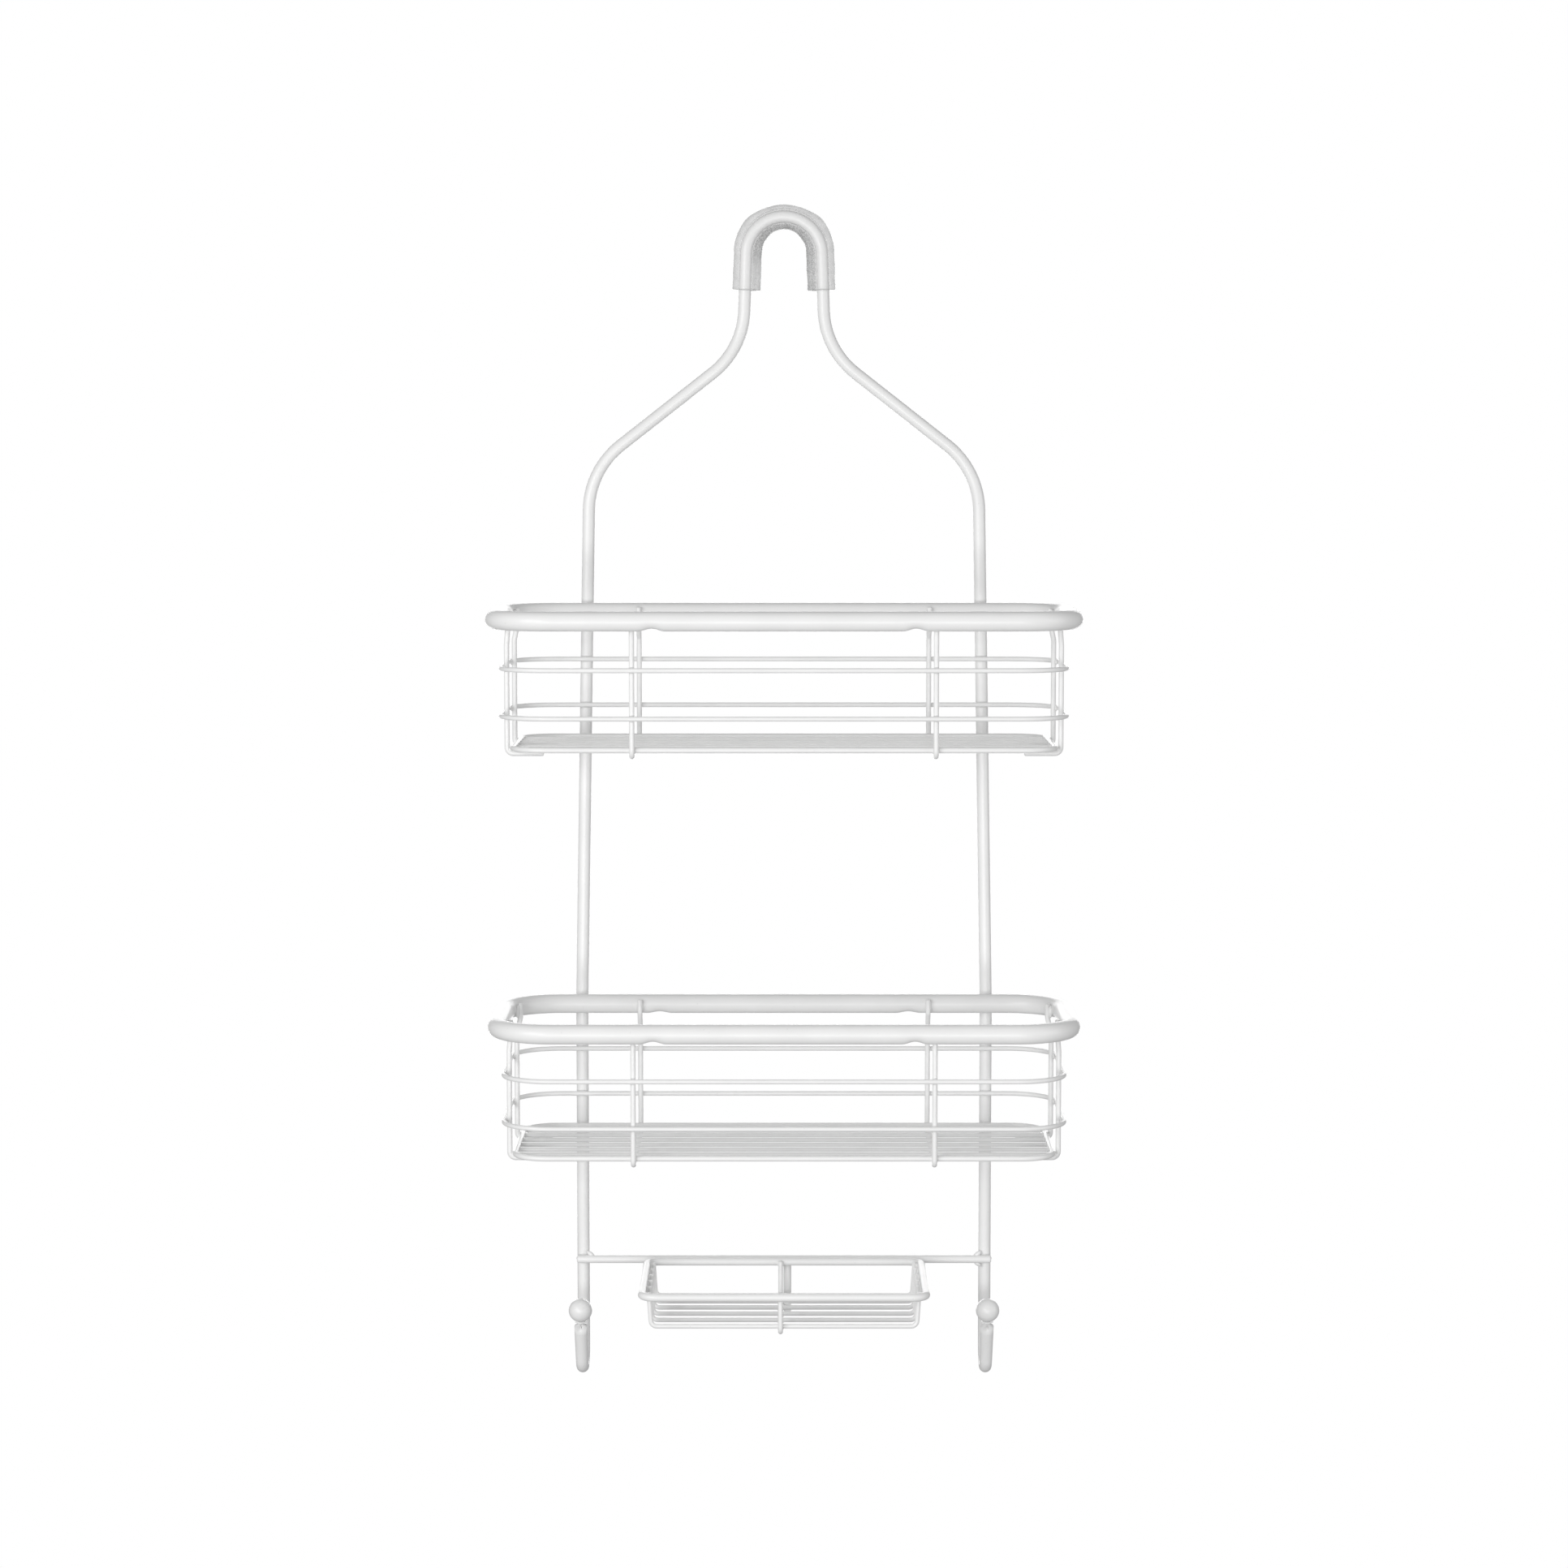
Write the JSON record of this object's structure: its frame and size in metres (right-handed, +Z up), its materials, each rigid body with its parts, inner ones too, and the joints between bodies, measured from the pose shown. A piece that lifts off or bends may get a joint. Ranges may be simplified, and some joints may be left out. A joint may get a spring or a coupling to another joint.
{
  "type": "shower caddy",
  "caption": "Hanging wire shower caddy with a clear-sleeved arch over the shower arm, deep baskets with tubular rims, a soap dish and ball-tipped hooks.",
  "frame": {"origin": "inside crown of the clear sleeve, where the caddy rests on the shower arm, in the plane of the bent rod", "axes": "+Z up, +X to the right as seen from the front, the open fronts of the baskets face -Y and the rails' backs face +Y"},
  "size_m": [0.2934, 0.1219, 0.6014],
  "materials": {
    "powder_coat": "satin white powder coat on steel",
    "ball_coat": "smooth satin white enamel on steel",
    "clear_sleeve": "clear, slightly cloudy soft vinyl tube"
  },
  "bodies": {
    "root": {"hanger_frame": "powder_coat", "hook_sleeve": "clear_sleeve", "hook_ball_left": "ball_coat", "hook_ball_right": "ball_coat", "upper_rim": "powder_coat", "upper_side_wire_high": "powder_coat", "upper_side_wire_low": "powder_coat", "upper_floor_frame": "powder_coat", "upper_cross_wire_left": "powder_coat", "upper_end_wire_left_front": "powder_coat", "upper_end_wire_left_rear": "powder_coat", "upper_cross_wire_right": "powder_coat", "upper_end_wire_right_front": "powder_coat", "upper_end_wire_right_rear": "powder_coat", "upper_floor_wire_1": "powder_coat", "upper_floor_wire_2": "powder_coat", "upper_floor_wire_3": "powder_coat", "upper_floor_wire_4": "powder_coat", "upper_floor_wire_5": "powder_coat", "upper_floor_wire_6": "powder_coat", "lower_rim": "powder_coat", "lower_side_wire_high": "powder_coat", "lower_side_wire_low": "powder_coat", "lower_floor_frame": "powder_coat", "lower_cross_wire_left": "powder_coat", "lower_end_wire_left_front": "powder_coat", "lower_end_wire_left_rear": "powder_coat", "lower_cross_wire_right": "powder_coat", "lower_end_wire_right_front": "powder_coat", "lower_end_wire_right_rear": "powder_coat", "lower_floor_wire_1": "powder_coat", "lower_floor_wire_2": "powder_coat", "lower_floor_wire_3": "powder_coat", "lower_floor_wire_4": "powder_coat", "lower_floor_wire_5": "powder_coat", "lower_floor_wire_6": "powder_coat", "crossbar": "powder_coat", "dish_rim": "powder_coat", "dish_wire_1": "powder_coat", "dish_wire_2": "powder_coat", "dish_wire_3": "powder_coat", "dish_wire_4": "powder_coat", "dish_wire_5": "powder_coat", "dish_wire_6": "powder_coat", "dish_cross_wire": "powder_coat", "dish_bracket": "powder_coat"}
  },
  "joints": []
}
